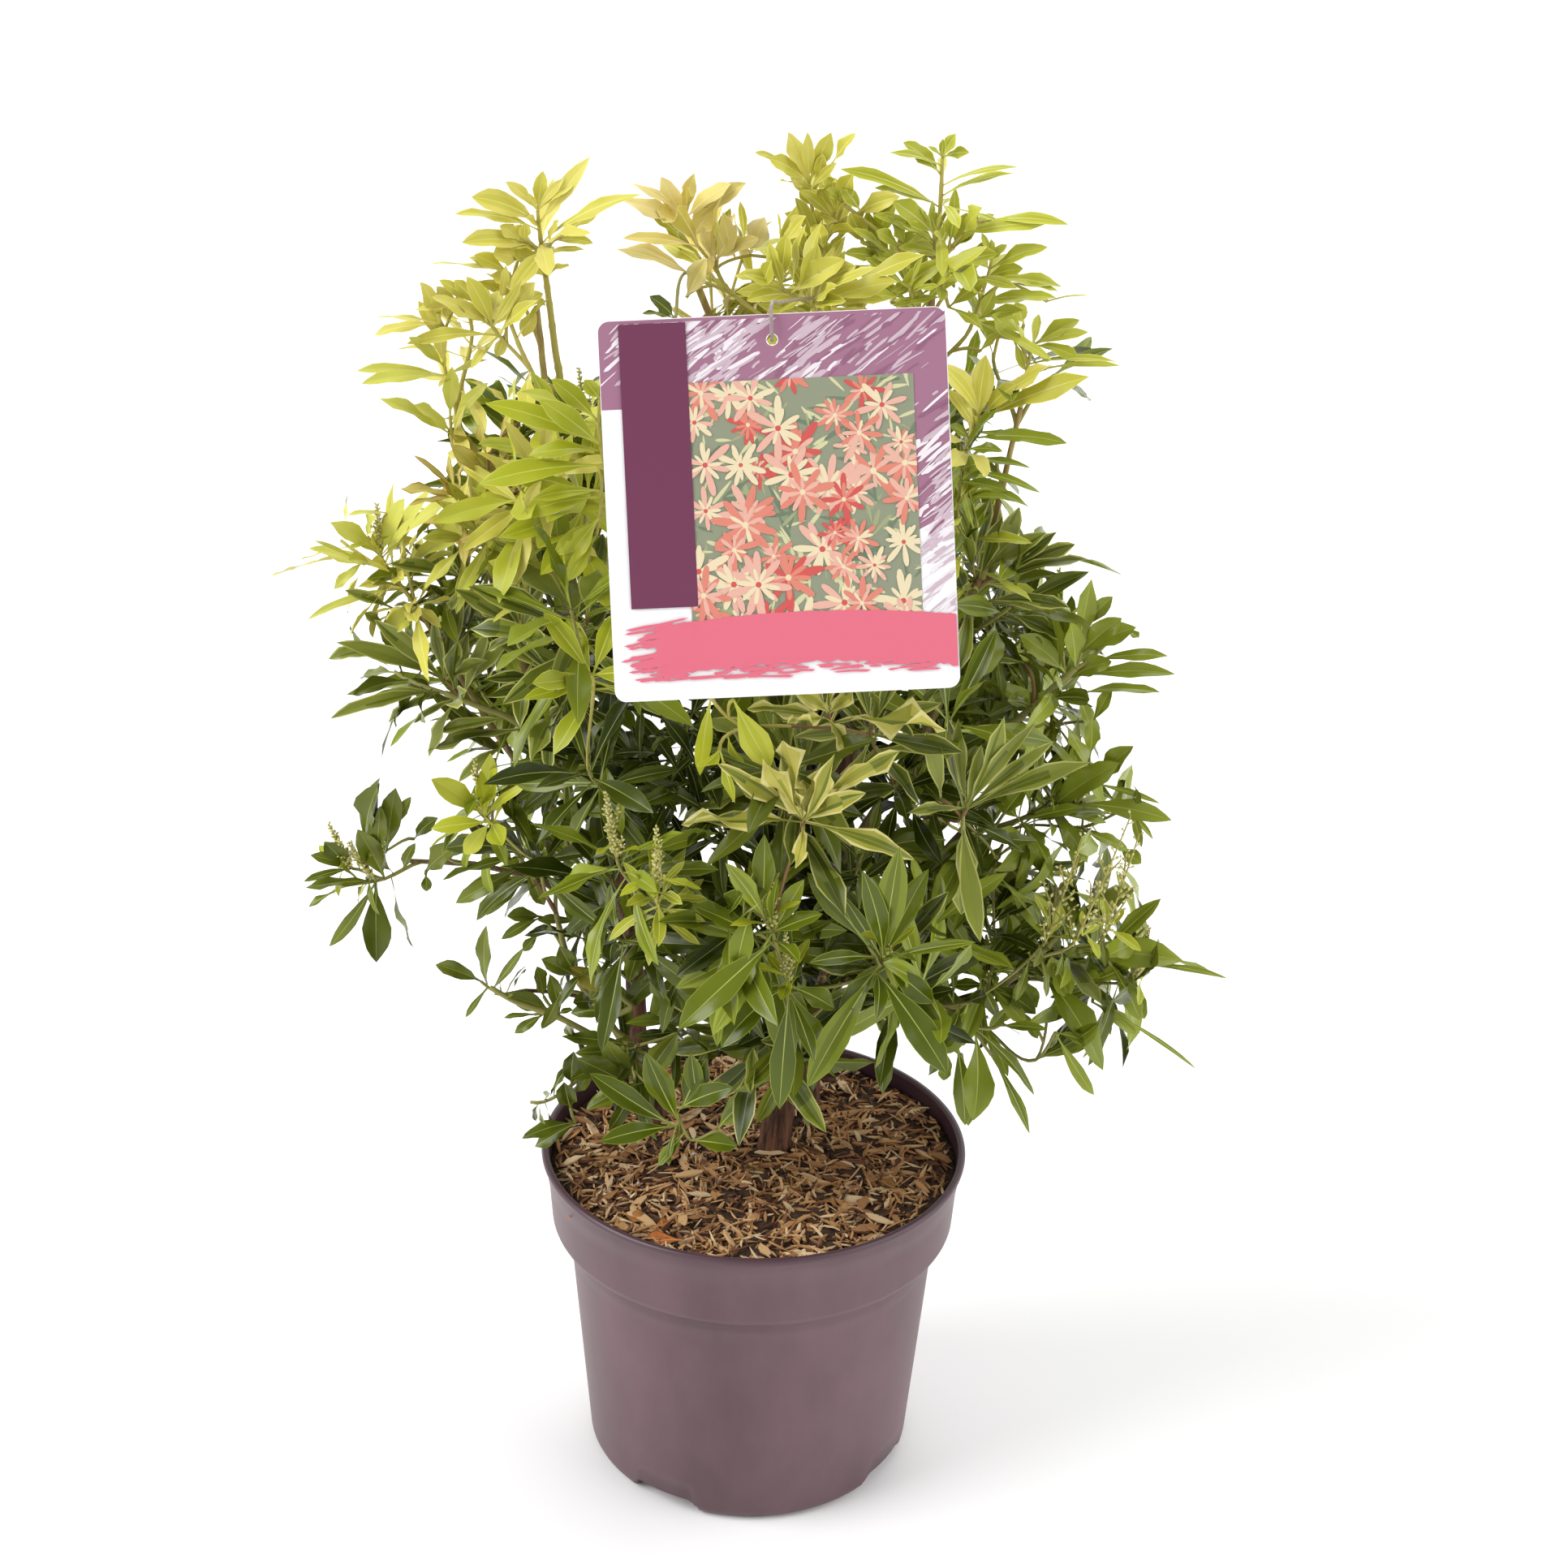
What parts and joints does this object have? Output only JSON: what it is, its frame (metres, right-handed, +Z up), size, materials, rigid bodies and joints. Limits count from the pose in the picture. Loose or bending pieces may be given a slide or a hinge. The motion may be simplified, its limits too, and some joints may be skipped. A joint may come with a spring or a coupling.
{
  "type": "potted pieris shrub",
  "caption": "Evergreen pieris shrub with whorled lance leaves, lime at the tips and dark below, in a round nursery pot with a collar, with a plain picture card on a wire hook.",
  "frame": {"origin": "centre of the pot's flat underside, on the surface it stands on", "axes": "+Z up; the card hangs on the -Y side, which is the front; +X to the viewer's right"},
  "size_m": [0.4871, 0.3619, 0.7294],
  "materials": {
    "pot": "satin mauve-brown moulded plastic",
    "compost": "bark and wood-fibre mulch on potting compost",
    "bark": "furrowed grey-brown bark",
    "twig": "smooth young bark, red-brown to yellow-green",
    "foliage_lime": "satin lime-yellow young leaves",
    "foliage_fresh": "satin mid-green leaves",
    "foliage_deep": "glossy dark green leaves, some with cream margins",
    "foliage_bronze": "satin bronze young leaves",
    "card": "printed semi-gloss card",
    "hook_wire": "grey-brown coated wire"
  },
  "bodies": {
    "root": {"pot": "pot", "compost": "compost", "stem_front": "bark", "stem_left": "bark", "stem_back": "bark", "bough_top_left": "twig", "bough_upper_left": "twig", "bough_left_shoulder": "twig", "bough_far_left": "twig", "bough_low_left": "twig", "bough_top_centre": "twig", "bough_top_mid": "twig", "bough_top_right": "twig", "bough_upper_right": "twig", "bough_right": "twig", "bough_low_right": "twig", "bough_front": "twig", "bough_back": "twig", "leaves_top_left": "foliage_lime", "leaves_top_centre": "foliage_bronze", "leaves_top_mid": "foliage_lime", "leaves_top_mid_low": "foliage_lime", "leaves_top_right": "foliage_lime", "leaves_top_right_low": "foliage_fresh", "leaves_upper_left": "foliage_lime", "leaves_left_fork": "foliage_lime", "leaves_upper_right": "foliage_fresh", "leaves_upper_right_low": "foliage_fresh", "leaves_left_shoulder": "foliage_lime", "leaves_left_bronze": "foliage_bronze", "leaves_left_mid": "foliage_deep", "leaves_right_shoulder": "foliage_deep", "leaves_right_mid": "foliage_deep", "leaves_left_inner": "foliage_deep", "leaves_left_low": "foliage_deep", "leaves_right_low": "foliage_deep", "leaves_core": "foliage_deep", "leaves_centre_mid": "foliage_deep", "leaves_centre_right": "foliage_deep", "leaves_centre_left": "foliage_deep", "leaves_low_centre": "foliage_deep", "leaves_low_centre_right": "foliage_deep", "leaves_low_right_tip": "foliage_deep", "leaves_low_right": "foliage_deep", "leaves_low_left_centre": "foliage_deep", "leaves_low_left_twig": "foliage_deep", "leaves_low_front": "foliage_deep", "leaves_pot_front": "foliage_fresh", "leaves_far_left": "foliage_deep", "leaves_back_top": "foliage_lime", "leaves_back_left_up": "foliage_fresh", "leaves_back_right_up": "foliage_fresh", "leaves_back_left": "foliage_deep", "leaves_back_right": "foliage_deep", "leaves_back_mid": "foliage_deep", "leaves_back_low": "foliage_deep", "leaves_back_low_left": "foliage_deep", "leaves_back_low_right": "foliage_deep", "label_card": "card", "label_hook": "hook_wire"}
  },
  "joints": []
}
